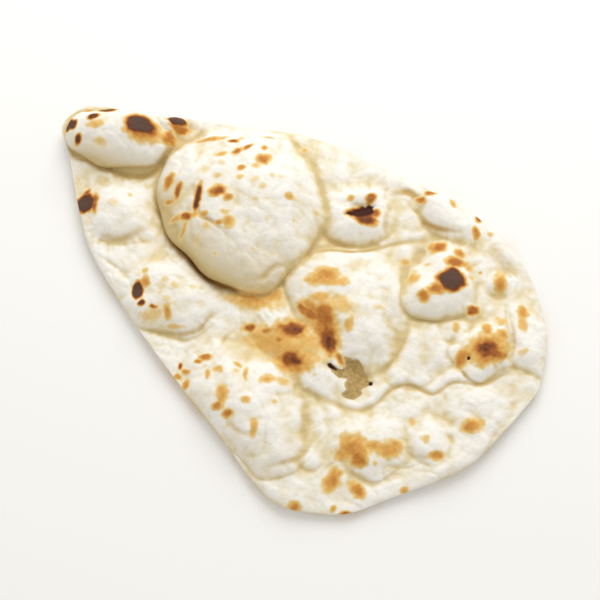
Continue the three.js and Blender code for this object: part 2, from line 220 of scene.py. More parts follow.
STEP_SOFTNESS = 1.5


def crease_distance(points, x, y):
    """Distance to a crease, whether a place is on its left, and how far the crease has faded in."""
    run = through(points, CREASE_STEPS, closed=False)
    nearest = np.full(x.shape, np.inf)
    left = np.zeros(x.shape, bool)
    along = np.zeros(x.shape)
    for number, (start, end) in enumerate(zip(run[:-1], run[1:])):
        ahead_x, ahead_y = end - start
        dot = (x - start[0]) * ahead_x + (y - start[1]) * ahead_y
        share = np.clip(dot / (ahead_x * ahead_x + ahead_y * ahead_y), 0, 1)
        off_x, off_y = x - start[0] - share * ahead_x, y - start[1] - share * ahead_y
        away = np.hypot(off_x, off_y)
        closer = away < nearest
        nearest = np.where(closer, away, nearest)
        left = np.where(closer, ahead_x * off_y - ahead_y * off_x > 0, left)
        along = np.where(closer, (number + share) / (len(run) - 1), along)
    return nearest, left, np.sin(math.pi * along)**CREASE_TAPER


# The hole of the burst blister, and the spot where the dome's skin has torn and sunk: the middle,
# length and width, turn and depth of each.
CRATERS = [((18, 71), (22, 13), 36, 5.0), ((75, -20), (22, 16), 0, 1.6)]

# The slow waves of the hand-stretched sheet, and the smaller lumps of the dough: two crossing
# waves, bent by slower ones.
SHEET_WAVES = [
    (0.9, 0.045, 0.03, 1), (0.8, -0.03, 0.07, 2.1), (0.5, 0.11, -0.05, 0.5), (0.4, 0.06, 0.14, 4),
]
LUMP_RISE = 0.5
LUMP_CROSSING = [[(1, 0.21, 0.09, 0)], [(1, -0.05, 0.23, 1)]]
LUMP_BEND_X = [(5, 0, 0.08, 1.3), (3, 0, 0.19, 0)]
LUMP_BEND_Y = [(5, 0.07, 0, 0.4), (3, 0.17, 0, 2)]


def lumps(x, y):
    """Height of the dough's lumps at each point."""
    u = x + ripple(LUMP_BEND_X, x, y)
    v = y + ripple(LUMP_BEND_Y, x, y)
    return LUMP_RISE * ripple(LUMP_CROSSING[0], u, v) * ripple(LUMP_CROSSING[1], u, v)


# How the skin takes painted light and shade from its form. Under a steep wall a painted shadow
# reaches out over the sheet and up the wall. The flanks of the higher blisters get painted shade,
# more so towards the foot.
SHADE_OUT = 6.0  # how far the shade under a wall reaches over the sheet
SHADE_UP = 8.0  # and how far up the wall
SHADE_LEAST = 0.3  # the share of that reach that even the lowest wall has
FLANK_GAIN = 2.0  # how fast the painted shade on a flank grows with the height of its blister
FLANK_START = 0.4  # how much of that is taken off, so that low blisters stay bright
FLANK_CURVE = 3.0  # how closely the dull flank keeps to the foot
LINE_SHARPNESS = 3.0  # how much thinner the colour of a crease is than the crease


def skin_height(x, y):
    """Height of the top skin before it rounds over at the edge, how far it is creased (coloured as
    dough and painted shade), the painted shadow under a wall and the painted shade on a high
    blister's flank."""
    raised = np.zeros(x.shape)
    foot_crease = np.zeros(x.shape)
    line = np.zeros(x.shape)
    painted_wall_shadow = np.zeros(x.shape)
    painted_flank_shade = np.zeros(x.shape)
    for blister in BLISTERS.values():
        _, distance, foot, steep = blister_polar(blister, x, y)
        roundness = blister["back"] + (blister["wall"] - blister["back"]) * steep
        fall = np.clip(1 - (distance / foot)**DOME_CURVE, 0, 1)
        raised = blend(raised, blister["rise"] * fall**roundness)
        pinched = np.exp(-((distance - foot) / PINCH_WIDTH)**2)
        foot_crease = np.maximum(foot_crease, blister["pinch"] * steep * pinched)
        line = np.maximum(line, blister["pinch"] * steep * pinched**LINE_SHARPNESS)
        wall_share = steep * blister["rise"] / BLISTERS["crown"]["rise"]
        past_foot = (distance - foot) / np.where(distance > foot, SHADE_OUT, SHADE_UP)
        shade = wall_share * np.exp(-np.abs(past_foot) / (SHADE_LEAST + wall_share))
        painted_wall_shadow = np.maximum(painted_wall_shadow, shade)
        low = np.where(distance < foot, (distance / foot)**FLANK_CURVE, 0)
        painted_flank_shade = np.maximum(painted_flank_shade, np.clip(FLANK_GAIN * wall_share - FLANK_START, 0, 1) * low)
    height = SHEET_TOP + ripple(SHEET_WAVES, x, y) + lumps(x, y) + raised - foot_crease
    for cx, cy, radius, rise in PIMPLES:
        cap = np.clip(1 - ((x - cx)**2 + (y - cy)**2) / radius**2, 0, 1)
        height += rise * cap**PIMPLE_ROUNDNESS
    for (cx, cy), size, turn, depth in CRATERS:
        reach = oval_reach(size, turn, np.arctan2(y - cy, x - cx))
        height -= depth * np.exp(-((x - cx)**2 + (y - cy)**2) / reach**2)
    for points, depth, width, step in CREASES.values():
        away, left, tapered = crease_distance(points, x, y)
        groove = np.exp(-(away / width)**2)
        lapped = step * np.exp(-(away / STEP_FADE)**STEP_SOFTNESS) * (1 - groove)
        height += np.where(left, lapped, 0)
        height -= depth * groove
        line = np.maximum(line, depth * tapered * groove**LINE_SHARPNESS)
    return height, line, painted_wall_shadow, painted_flank_shade


# The edge waves 3 and 7 times on its way round.
RIM_WAVES = [(0.8, 3, 0, 1), (0.4, 7, 0, 2)]


def rim_lift(bearing):
    """How far the edge is lifted in one direction."""
    from_tip = (math.pi - np.abs(bearing)) / TIP_CURL_SPREAD
    return RIM_LIFT * (1 + ripple(RIM_WAVES, bearing, 0)) + TIP_CURL * np.exp(-from_tip**2)


# The mesh starts as a coarse square grid, is thickened into two layers, and its upper layer is
# cut finer. The square is then drawn out to the leaf.
CELLS_LONG = 115
CELLS_WIDE = 76
TOP_CUTS = 2
HALF_WAY = 0.5  # between the lower layer, at 0, and the upper one, at 1
EDGE_CROWDING = 0.02

naan_bm = bmesh.new()
bmesh.ops.create_grid(naan_bm, x_segments=CELLS_LONG, y_segments=CELLS_WIDE, size=1.0)
upper = bmesh.ops.extrude_face_region(naan_bm, geom=naan_bm.faces[:], use_keep_orig=True)
upper_verts = [g for g in upper["geom"] if isinstance(g, bmesh.types.BMVert)]
bmesh.ops.translate(naan_bm, verts=upper_verts, vec=(0, 0, 1))
upper_edges = [e for e in naan_bm.edges if all(v.co.z > HALF_WAY for v in e.verts)]
bmesh.ops.subdivide_edges(naan_bm, edges=upper_edges, cuts=TOP_CUTS, use_grid_fill=True)
bmesh.ops.recalc_face_normals(naan_bm, faces=naan_bm.faces[:])
naan_mesh = bpy.data.meshes.new("naan_bread")
naan_bm.to_mesh(naan_mesh)
naan_bm.free()

grid = np.empty(len(naan_mesh.vertices) * 3)
naan_mesh.vertices.foreach_get("co", grid)
grid = grid.reshape(-1, 3)
is_top = grid[:, 2] > HALF_WAY
across = grid[:, 0] * np.sqrt(1 - grid[:, 1]**2 / 2)
along = grid[:, 1] * np.sqrt(1 - grid[:, 0]**2 / 2)
inset = np.clip(1 - np.hypot(across, along), 0, 1)
crowded = (1 + EDGE_CROWDING) * inset**2 / (inset + EDGE_CROWDING)
bearing = np.arctan2(along * WIDTH / 2, across * LENGTH / 2)
edge = edge_distance(bearing)
x = edge * (1 - crowded) * np.cos(bearing)
y = edge * (1 - crowded) * np.sin(bearing)

height, creased, painted_wall_shadow, painted_flank_shade = skin_height(x, y)

# The fine relief of the skin, each kind with its size and its height or depth: soft lumps, and
# wrinkles, which come in patches.
RELIEF = [(22, 0.8), (11, 0.6), (6, 0.45), (3.2, 0.26)]
WRINKLES = [(26, 0.7), (14, 0.5), (9, 0.3)]
WRINKLE_WIDTH = 0.09  # as a share of the noise that they follow
WRINKLED_PATCH = 34.0
WRINKLED_CONTRAST = 1.2

# Small pleats across the foot of every blister.
FOOT_PLEAT = 5.0  # their size along the foot
FOOT_PLEAT_RISE = 0.6
FOOT_PLEAT_STRETCH = 4.0  # how many times longer they are, up the wall
FOOT_BAND = 0.98  # the band that they keep to, as shares of the way out to the foot
FOOT_BAND_WIDTH = 0.16

# The fan of wrinkles round the hole of the burst blister.
FAN_RADIUS = 15.0  # the middle of the ring that they fill
FAN_WIDTH = 8.0  # half the width of the ring
FAN_RISE = 0.7
FAN_WRINKLE = 4.0  # their size along a circle of FAN_SPREAD round the hole
FAN_SPREAD = 12.0
FAN_STRETCH = 5.0  # how many times longer they are, outwards

# Finer folds, each pressed in along a curve: the curve, depth and half width. The crown has split
# and healed along the first one.
FOLDS = [
    ([(-75, 18), (-66, 10), (-59, 3), (-52, 3), (-44, 3), (-33, 1)], 1.5, 1.4),
    ([(-68, 6), (-64, -2), (-55, -8)], 0.7, 1.6),
    ([(-60, -6), (-53, -10), (-40, -11)], 0.8, 1.6),
    ([(-14, -13), (-5, -5), (-3, 4), (4, 16)], 1.2, 1.8),
    ([(30, 88), (33, 77), (37, 69), (44, 64)], 0.8, 2.2),
    ([(61, -52), (69, -62), (76, -74)], 0.8, 2.4),
    ([(30, -89), (38, -91), (47, -90), (55, -84)], 0.9, 2.2),
    ([(100, -72), (108, -72), (123, -69), (133, -56), (134, -47)], 0.7, 2.4),
    ([(128, -44), (136, -40), (146, -33), (152, -27)], 0.7, 2.2),
    ([(112, 69), (119, 73), (126, 77)], 0.8, 1.8),
    ([(96, 96), (108, 94), (122, 88)], 0.8, 4.5),
]
FOLD_COLOUR = 0.7  # how strongly a fold is coloured for its depth, in dough colour and painted shade

# Short pleats side by side, gathered between the crown and the toasted patch.
PLEATS = 6
FIRST_PLEAT, LAST_PLEAT, PLEAT_RUN = np.array((4, -28)), np.array((11, -9)), np.array((9, -4))
PLEAT_DEPTH = 0.45
PLEAT_WIDTH = 1.2
for pleat in np.arange(PLEATS) / (PLEATS - 1):
    start = FIRST_PLEAT + pleat * (LAST_PLEAT - FIRST_PLEAT)
    FOLDS.append(([tuple(start), tuple(start + PLEAT_RUN)], PLEAT_DEPTH, PLEAT_WIDTH))

# A thin raised lip of skin, round the near side of the torn spot.
LIP = [(53, -40), (73, -42), (89, -36), (96, -23), (96, -17)]
LIP_RISE = 0.6
LIP_WIDTH = 2.6


def grain(x, y, size, layer):
    """Smooth noise from -1 to 1 with features of that many millimetres. Each layer is a pattern
    of its own, the same at every run."""
    return np.array([noise.noise((a / size, b / size, layer)) for a, b in zip(x, y)])


fine = np.zeros(x.shape)
for layer, (size, rise) in enumerate(RELIEF):
    fine += rise * grain(x, y, size, 10 + 7 * layer)
for layer, (size, depth) in enumerate(WRINKLES):
    groove = np.exp(-(grain(x, y, size, 50 + layer) / WRINKLE_WIDTH)**2)
    in_patch = np.clip(0.5 + WRINKLED_CONTRAST * grain(x, y, WRINKLED_PATCH, 60 + layer), 0, 1)
    fine -= depth * groove * in_patch
for layer, blister in enumerate(BLISTERS.values()):
    towards, distance, foot, _ = blister_polar(blister, x, y)
    band = np.exp(-((distance / foot - FOOT_BAND) / FOOT_BAND_WIDTH)**2)
    round_foot = towards * blister["size"][0] / 2
    pleated = grain(round_foot, distance / FOOT_PLEAT_STRETCH, FOOT_PLEAT, 80 + layer)
    fine += FOOT_PLEAT_RISE * band * pleated
hole_x, hole_y = CRATERS[0][0]
hole_bearing = np.arctan2(y - hole_y, x - hole_x)
hole_distance = np.hypot(x - hole_x, y - hole_y)
fan = grain(hole_bearing * FAN_SPREAD, hole_distance / FAN_STRETCH, FAN_WRINKLE, 130)
fine += FAN_RISE * np.exp(-((hole_distance - FAN_RADIUS) / FAN_WIDTH)**2) * fan
for points, depth, width in FOLDS:
    away, _, tapered = crease_distance(points, x, y)
    groove = tapered * np.exp(-(away / width)**2)
    fine -= depth * groove
    creased = np.maximum(creased, FOLD_COLOUR * depth * groove)
lip_away, _, _ = crease_distance(LIP, x, y)
fine += LIP_RISE * np.exp(-(lip_away / LIP_WIDTH)**2)
height = height + fine
inward = np.clip((edge - np.hypot(x, y)) / RIM_ROUNDING, 0, 1)
rounded = np.sqrt(1 - (1 - inward)**2)
top = (RIM_TOP + rim_lift(bearing)) * (1 - rounded) + height * rounded
outward = np.clip(((1 - crowded) - FLAT_SHARE) / (1 - FLAT_SHARE), 0, 1)**2
underside = np.clip(-UNDERCUT + (RIM_FOOT + rim_lift(bearing) + UNDERCUT) * outward, 0, None)

# Steep walls belly out over their foot, from BELLY_START of the way out to it, fullest once they
# have gone on by BELLY_GROWTH, and back within BELLY_END of the foot.
BELLY = 2.0
BELLY_START = 0.7
BELLY_GROWTH = 0.25
BELLY_END = 0.05
shift_x, shift_y = np.zeros(x.shape), np.zeros(x.shape)
for blister in BLISTERS.values():
    towards, distance, foot, steep = blister_polar(blister, x, y)
    share = distance / foot
    belly = np.clip((share - BELLY_START) / BELLY_GROWTH, 0, 1)**2
    belly = belly * np.clip((1 - share) / BELLY_END, 0, 1)
    shift_x += np.where(is_top, BELLY * blister["tuck"] * steep * belly * np.cos(towards), 0)
    shift_y += np.where(is_top, BELLY * blister["tuck"] * steep * belly * np.sin(towards), 0)
x = x + shift_x
y = y + shift_y

z = np.where(is_top, top, underside)


def averaged(values, cells):
    """The values of a grid, each evened out twice over so many cells to every side."""
    span = 2 * cells + 1
    for _ in range(2):
        for axis in (0, 1):
            margins = [(cells + 1, cells) if a == axis else (0, 0) for a in (0, 1)]
            total = np.cumsum(np.pad(values, margins, mode="edge"), axis)
            upper_part = np.take(total, range(span, total.shape[axis]), axis)
            lower_part = np.take(total, range(0, total.shape[axis] - span), axis)
            values = (upper_part - lower_part) / span
    return values


# How deep each place lies below the skin close by, and below the skin further off: over how many
# cells that skin is evened out, the depth that counts as a full hollow, and for the wide hollows
# how much they count beside the thin ones. The material makes the hollows creamier with it, partly
# the dough's own colour and partly painted shade.
NEAR_CELLS = 3
FAR_CELLS = 12
THIN_HOLLOW = 1.6
WIDE_HOLLOW = 4.5
WIDE_SHARE = 0.5
fine_long, fine_wide = CELLS_LONG * (TOP_CUTS + 1) + 1, CELLS_WIDE * (TOP_CUTS + 1) + 1
row = np.rint((grid[is_top, 0] + 1) / 2 * (fine_long - 1)).astype(int)
column = np.rint((grid[is_top, 1] + 1) / 2 * (fine_wide - 1)).astype(int)
heights = np.zeros((fine_long, fine_wide))
heights[row, column] = z[is_top]
cavity = np.zeros(x.shape)
cavity[is_top] = (averaged(heights, NEAR_CELLS) - heights)[row, column] / THIN_HOLLOW
cavity[is_top] += (
    WIDE_SHARE * (averaged(heights, FAR_CELLS) - heights)[row, column] / WIDE_HOLLOW
)
cavity = np.clip(0.5 + 0.5 * cavity, 0, 1)

# Where the oven has toasted it, and under the crown's tip two spots of painted shadow in toast
# colours. Each group of spots has a place on or near its blister, and each spot lies so far to the
# right of it and so far up, on axes turned SPOT_TURN from the bread's own. Then come its length and
# width, the turn of its length, and its heat: 0.3 is golden, 0.5 orange, 0.7 brown and 1 char.
SPOT_TURN = math.radians(36)
TOAST_AND_SHADE_SPOTS = {
    "roll": ((-137, 18), [
        (16, 8, 20, 14, -15, 1.0), (17, 6, 23, 16, -15, 0.6), (-30, 9, 9, 4, 80, 0.9),
        (-27, 9, 7, 5, 80, 0.9), (-24, -1, 6, 5, 60, 0.8), (-14, 14, 8, 5, 20, 0.85),
        (-6, 19, 12, 4, -5, 0.85), (-18, 19, 7, 3, 0, 0.45), (-12, 9, 12, 6, 0, 0.3),
        (-10, -3, 10, 7, 0, 0.22), (33, 0, 10, 8, 70, 0.5), (38, 13, 12, 8, -10, 1.0),
        (39, 8, 12, 7, 0, 0.5),
    ]),
    "neck": ((-109, -25), [
        (-16, 7, 13, 12, 90, 1.0), (-10, 7, 13, 5, 90, 0.6), (-16, 14, 8, 4, 60, 0.6),
        (2, 7, 8, 6, 0, 0.15),
    ]),
    "crown": ((-46, 25), [
        (-18, 47, 19, 4, 0, 0.42), (-3, 45, 7, 3, 0, 0.6), (0, 38, 8, 5, 40, 0.55),
        (6, 40, 9, 3, 35, 0.55), (-10, 36, 8, 4, 0, 0.35), (17, 40, 5, 4, 90, 0.45),
        (17, 32, 10, 8, 30, 0.52), (12, 27, 7, 5, 20, 0.25), (3, 26, 5, 5, 0, 0.45),
        (2, 20, 5, 4, 0, 0.25), (-12, 21, 7, 5, 0, 0.22), (-43, 18, 12, 6, 65, 0.5),
        (-37, 11, 9, 5, 75, 0.62), (-24, 7, 20, 4, 80, 0.85), (-12, 11, 11, 8, 15, 0.6),
        (-5, 6, 6, 5, 0, 0.45), (-43, 4, 5, 4, 0, 0.45), (-31, -6, 8, 6, 0, 0.62),
        (-38, -8, 8, 5, 0, 0.35), (-26, -5, 9, 4, 45, 0.35), (-33, -15, 9, 3, 60, 0.36),
        (-20, -4, 6, 4, 0, 0.35), (-11, -10, 6, 4, 0, 0.42), (-7, -3, 8, 4, 0, 0.25),
        (-4, -10, 9, 7, 90, 0.38), (33, 7, 6, 5, 0, 0.35), (12, 5, 5, 3, 0, 0.2),
        (2, 47, 4, 4, 0, 0.2), (20, 48, 9, 2, 0, 0.3), (42, 40, 4, 4, 0, 0.3),
        # The spots at (9, -61) and (23, -59) lie on the sheet under the crown's tip: painted shadow
        # in toast colours.
        (-19, -13, 5, 6, 0, 0.22), (-24, -22, 9, 3, 80, 0.2), (9, -61, 32, 11, -10, 0.36),
        (23, -59, 16, 8, 28, 0.34),
    ]),
    "west": ((-46, -45), [
        (-20, 2, 12, 7, 90, 1.0), (-15, 8, 8, 6, 90, 0.42), (-17, -6, 5, 4, 0, 0.85),
        (-10, -8, 5, 3, 0, 0.6), (-16, 15, 5, 5, 90, 0.3), (-4, 5, 8, 7, 0, 0.15),
        (-1, -12, 10, 5, 90, 0.4), (-10, -14, 18, 9, 0, 0.2), (3, -21, 14, 3, -5, 0.25),
    ]),
    "toasted": ((38, -32), [
        (-14, 8, 40, 17, -22, 0.33), (-2, 4, 44, 22, -24, 0.33), (10, 8, 22, 18, -40, 0.3),
        (-26, 17, 8, 5, 0, 0.6), (-16, 15, 8, 4, 0, 0.5), (0, 15, 25, 16, 5, 0.44),
        (1, -3, 25, 17, -15, 0.44), (0, 16, 17, 10, 5, 0.68), (3, 15, 9, 6, 5, 0.74),
        (0, -3, 17, 10, -15, 0.68), (2, -4, 10, 6, -15, 0.76), (-8, 9, 5, 3, 0, 0.5),
        (20, 18, 36, 18, -75, 0.46), (22, 9, 19, 10, -80, 0.68), (22, 8, 13, 6, -80, 0.76),
        (19, 24, 18, 11, -60, 0.54), (29, -3, 9, 5, -60, 0.48), (12, 30, 20, 6, -40, 0.42),
    ]),
    "dome": ((50, 14), [
        (-17, 20, 22, 12, 5, 0.42), (-9, 17, 16, 7, 0, 0.32), (-19, 7, 14, 7, 0, 0.34),
        (-8, 2, 22, 14, -20, 0.26), (-26, -4, 24, 6, -38, 0.52), (-17, -2, 13, 10, -20, 0.5),
        (-2, -10, 10, 7, 90, 0.32), (16, 0, 8, 5, 0, 0.18),
    ]),
    "long": ((26, -78), [
        (-16, 28, 8, 4, 0, 0.52), (-21, 25, 5, 3, 0, 0.5), (-31, 22, 5, 3, 80, 0.7),
        (-28, 19, 6, 4, 0, 0.42), (-33, 16, 5, 4, 0, 0.42), (-28, 11, 7, 5, 70, 0.42),
        (-14, 18, 6, 4, 90, 0.36), (-8, 21, 6, 5, 0, 0.34), (4, 24, 6, 3, -30, 0.4),
        (9, 18, 9, 3, 85, 0.36), (22, 15, 9, 6, 10, 0.38), (32, 13, 8, 6, 0, 0.25),
        (-5, 6, 11, 7, 80, 0.4), (-8, -1, 8, 6, 0, 0.45), (-2, -6, 7, 6, 0, 0.5),
        (9, 3, 6, 5, 0, 0.34), (26, 1, 5, 4, 0, 0.22), (14, -14, 11, 5, 85, 0.36),
    ]),
    "burst": ((19, 70), [
        (-1, -1, 19, 9, 5, 0.9), (1, -5, 16, 9, -12, 0.72), (8, -1, 7, 7, 80, 0.62),
        (5, 9, 7, 6, 60, 0.58), (4, 6, 5, 3, 60, 0.45), (-8, 9, 5, 4, 0, 0.34),
    ]),
    "shoulder": ((53, 110), [
        (-8, 0, 7, 6, 0, 0.55), (-15, -5, 8, 5, -20, 0.52), (6, -7, 7, 4, 90, 0.4),
        (23, -17, 8, 5, 70, 0.66), (20, -27, 8, 5, 80, 0.46), (29, -28, 5, 5, 0, 0.28),
    ]),
    "charred": ((86, 64), [
        (3, -1, 17, 15, 0, 1.0), (6, 10, 14, 7, 0, 0.55), (-4, 20, 11, 9, 15, 0.52),
        (9, 16, 7, 7, 0, 0.46), (-7, -7, 11, 8, 0, 0.52), (-15, -12, 8, 8, 0, 0.5),
        (-20, 0, 9, 7, 80, 0.33), (8, -3, 9, 6, 0, 0.6), (15, 6, 6, 5, 0, 0.32),
        (-11, 8, 5, 4, 90, 0.26), (-24, 10, 7, 5, 0, 0.3), (22, 3, 3, 2, 0, 0.42),
        (34, -3, 14, 9, 90, 0.42), (17, -22, 8, 6, 0, 0.6),
    ]),
    "browned": ((131, 40), [
        (1, 0, 27, 19, 8, 0.5), (1, 0, 18, 13, 10, 0.66), (0, 1, 12, 8, 0, 0.74),
        (7, -3, 13, 8, 0, 0.6), (-14, -6, 14, 7, 80, 0.44), (2, 12, 10, 6, 90, 0.42),
        (11, 9, 8, 8, 0, 0.4), (10, 17, 9, 7, 0, 0.28), (-17, 14, 8, 5, 90, 0.34),
    ]),
    "rimside": ((143, 69), [
        (-2, 7, 10, 7, 90, 0.42), (-2, 0, 12, 5, 90, 0.3),
    ]),
    "golden": ((112, -54), [
        (-11, 3, 22, 18, 10, 0.42), (-8, -3, 13, 9, -20, 0.5), (11, 3, 18, 11, 5, 0.4),
        (2, 4, 14, 7, 0, 0.38), (3, -6, 4, 4, 0, 0.22), (-23, -17, 15, 10, 60, 0.44),
        (-8, -23, 13, 8, -55, 0.46), (-15, -38, 8, 5, 0, 0.62), (-22, -34, 4, 4, 0, 0.4),
        (-46, -34, 8, 7, 0, 0.44), (20, -23, 6, 5, 0, 0.36), (7, -32, 6, 4, 0, 0.3),
        (-35, -41, 12, 2, 0, 0.5),
    ]),
    "lobe": ((140, -27), [
        (1, -7, 9, 6, 0, 0.42), (-5, 3, 7, 4, 80, 0.24), (-13, 14, 8, 4, 85, 0.25),
    ]),
    "apron": ((152, 11), [
        (-9, -12, 14, 9, 12, 0.42), (-18, -8, 12, 4, 0, 0.12),
    ]),
}

# Height counts for a part in how far up a spot lies, because the spots sit on the risen skin. Where
# a place comes twice, on the near and the far side of a blister, the higher one is meant.
SPOT_LEAN = 1 / math.tan(math.radians(72))
HIGHER_FIRST = 0.1


def spot_share(base, spot, x, y):
    """How far out a place lies in a spot: 0 in the middle, 1 on its edge."""
    dx, dy = x - base[0], y - base[1]
    right = dx * math.cos(SPOT_TURN) + dy * math.sin(SPOT_TURN) - spot[0]
    up = dy * math.cos(SPOT_TURN) - dx * math.sin(SPOT_TURN) - spot[1]
    miss = np.hypot(right, up + SPOT_LEAN * (z - SHEET_TOP))
    middle_height = z[np.argmin(np.where(is_top, miss - HIGHER_FIRST * z, np.inf))]
    up = up + SPOT_LEAN * (middle_height - SHEET_TOP)
    turn = math.radians(spot[4])
    along = right * math.cos(turn) + up * math.sin(turn)
    across = up * math.cos(turn) - right * math.sin(turn)
    return np.hypot(along / (spot[2] / 2), across / (spot[3] / 2))


# A spot's outline wavers and is ragged, each by noise of two sizes: the size, then how far it goes,
# in millimetres for the wavering and as a share of the spot for the raggedness. The hotter a spot
# is, the less ragged and the sharper it is, and round it lies a faint halo.
WAVERING = [(9, 1.1), (3.5, 0.5)]
RAGGEDNESS = [(6, 0.4), (2.6, 0.32)]
RAGGED_AT_NO_HEAT = 1.25
SOFT_AT_NO_HEAT = 1.7
SHARPER_WITH_HEAT = 0.9
SPOT_EDGE = 0.95  # where a spot is half as hot as in its middle
HALO_HEAT = 0.12  # how hot the halo is, as a share of the spot
HALO_REACH = 1.5  # how far out it goes, as a share of the spot

wander_x, wander_y, ragged = x, y, np.zeros(x.shape)
for layer, (size, reach) in enumerate(WAVERING):
    wander_x = wander_x + reach * grain(x, y, size, 165 + layer)
    wander_y = wander_y + reach * grain(x, y, size, 167 + layer)
for layer, (size, reach) in enumerate(RAGGEDNESS):
    ragged = ragged + reach * grain(x, y, size, 150 + 10 * layer)
toast_and_shade = np.zeros(x.shape)
for base, spots in TOAST_AND_SHADE_SPOTS.values():
    for spot in spots:
        heat = spot[5]
        share = spot_share(base, spot, wander_x, wander_y) + (RAGGED_AT_NO_HEAT - heat) * ragged
        share = np.maximum(share, 0)
        softness = SOFT_AT_NO_HEAT - SHARPER_WITH_HEAT * heat
        fall = np.clip((SPOT_EDGE + softness / 2 - share) / softness, 0, 1)
        halo = HALO_HEAT * heat * np.exp(-(share / HALO_REACH)**2)
        toast_and_shade = np.maximum(toast_and_shade, np.maximum(heat * fall * fall * (3 - 2 * fall), halo))

# Pale freckles where the skin stands high.
FRECKLES = 130
FRECKLED_ABOVE = 11.0
FRECKLE_RADIUS = (0.9, 3.2)
FRECKLE_HEAT = (0.05, 0.2)
FRECKLE_EDGE = 1.7  # where a freckle has faded out, as a share of its radius
FRECKLE_SOFTNESS = 1.4
freckle_draw = random.Random(11)
high_skin = np.flatnonzero(is_top & (z > FRECKLED_ABOVE))
for _ in range(FRECKLES):
    middle = high_skin[freckle_draw.randrange(len(high_skin))]
    radius = freckle_draw.uniform(*FRECKLE_RADIUS)
    heat = freckle_draw.uniform(*FRECKLE_HEAT)
    away = np.hypot(wander_x - wander_x[middle], wander_y - wander_y[middle]) / radius + ragged
    fall = np.clip((FRECKLE_EDGE - away) / FRECKLE_SOFTNESS, 0, 1)
    toast_and_shade = np.maximum(toast_and_shade, heat * fall * fall * (3 - 2 * fall))

# The underside, which has lain on the hot wall, is toasted in broad patches and small dots: the
# size of each, the noise from which it starts, how softly, and its heat.
PATCH_SIZE, PATCH_START, PATCH_SOFTNESS, PATCH_HEAT = 24, 0.12, 0.5, 0.42
PATCH_BREAK_SIZE, PATCH_BREAK_SHARE = 9, 0.5
DOT_SIZE, DOT_START, DOT_SOFTNESS, DOT_HEAT = 9, 0.42, 0.25, 0.6
patches = grain(x, y, PATCH_SIZE, 170) + PATCH_BREAK_SHARE * grain(x, y, PATCH_BREAK_SIZE, 180)
patches = np.clip((patches - PATCH_START) / PATCH_SOFTNESS, 0, 1)
dots = np.clip((grain(x, y, DOT_SIZE, 190) - DOT_START) / DOT_SOFTNESS, 0, 1)
toast_and_shade = np.where(is_top, toast_and_shade, np.maximum(PATCH_HEAT * patches, DOT_HEAT * dots))

# The torn spot, where the dome's skin has parted and the crumb shows, and the flap beside it. Each
# is placed as a toasted spot is.
TEAR_PLACE = (75, -22)
TEAR = [
    (0, 3.5, 18, 14, -35), (7, -2, 13, 8, -60), (1, -11, 12, 7, 10), (2, -6, 12, 10, 0),
    (-8, 3, 10, 6, -35),
]
TEAR_FLAP = (-7, 6, 5, 2.5, -30)
FRAY_SIZE, FRAY_REACH = 4, 0.2
HOLE_EDGE = 1.5  # where a tear or a hole has faded out, as a share of its reach
frayed = FRAY_REACH * grain(x, y, FRAY_SIZE, 200)
torn = np.zeros(x.shape)
for spot in TEAR:
    share = spot_share(TEAR_PLACE, spot, x, y) + frayed
    torn = np.maximum(torn, np.clip(HOLE_EDGE - share, 0, 1))
flap = np.clip(HOLE_EDGE - spot_share(TEAR_PLACE, TEAR_FLAP, x, y), 0, 1)
torn = np.where(is_top, torn, 0) * (1 - flap)

# The holes, each painted dark for the shade inside it: the burst, the two ends of the tear and a
# pinhole in the browned blister.
BURST_PLACE = (19, 70)
BROWNED_PLACE = (131, 40)
HOLES = [
    (BURST_PLACE, (0, 0, 13, 6.5, 8)), (BURST_PLACE, (4, 2, 7, 6, 40)),
    (BURST_PLACE, (-7, -1, 8, 3, 10)), (TEAR_PLACE, (-11.5, 6, 6, 2.6, -30)),
    (TEAR_PLACE, (12, -5, 3.4, 3, 0)), (BROWNED_PLACE, (-10, -6, 1.8, 1.8, 0)),
]
hollow = np.zeros(x.shape)
for base, spot in HOLES:
    share = spot_share(base, spot, wander_x, wander_y) + ragged
    hollow = np.maximum(hollow, np.clip(HOLE_EDGE - share, 0, 1))
hollow = np.where(is_top, hollow, 0)

# Toasted skin stands up a little, up to a heat of TOAST_FULL. The torn spot and the holes lie
# lower, and the flap higher.
TOAST_RISE = 0.4
TOAST_FULL = 0.8
TEAR_DEPTH = 0.8
HOLE_DEPTH = 2.0
FLAP_RISE = 0.9
toasted_rise = TOAST_RISE * np.clip(toast_and_shade, 0, TOAST_FULL)
opened_rise = toasted_rise - TEAR_DEPTH * torn - HOLE_DEPTH * hollow + FLAP_RISE * flap
z = z + np.where(is_top, opened_rise, 0)

MM = 0.001
naan_mesh.vertices.foreach_set("co", (np.stack([x, y, z], 1) * MM).ravel())
naan_mesh.shade_smooth()
naan_mesh.update()


def save_attribute(mesh, name, values):
    """Keeps one value for each vertex, for the material to read."""
    layer = mesh.attributes.new(name, "FLOAT", "POINT")
    layer.data.foreach_set("value", np.asarray(values, np.float32))


save_attribute(naan_mesh, "crease", np.where(is_top, np.clip(creased, 0, 1), 0))
save_attribute(naan_mesh, "cavity", np.where(is_top, cavity, 0.5))
save_attribute(naan_mesh, "painted_wall_shadow", np.where(is_top, np.clip(painted_wall_shadow, 0, 1), 0))
save_attribute(naan_mesh, "painted_flank_shade", np.where(is_top, np.clip(painted_flank_shade, 0, 1), 0))
save_attribute(naan_mesh, "toast_and_shade", np.clip(toast_and_shade, 0, 1))
save_attribute(naan_mesh, "torn", torn)
save_attribute(naan_mesh, "hollow", hollow)

naan = bpy.data.objects.new("naan_bread", naan_mesh)
bpy.context.scene.collection.objects.link(naan)


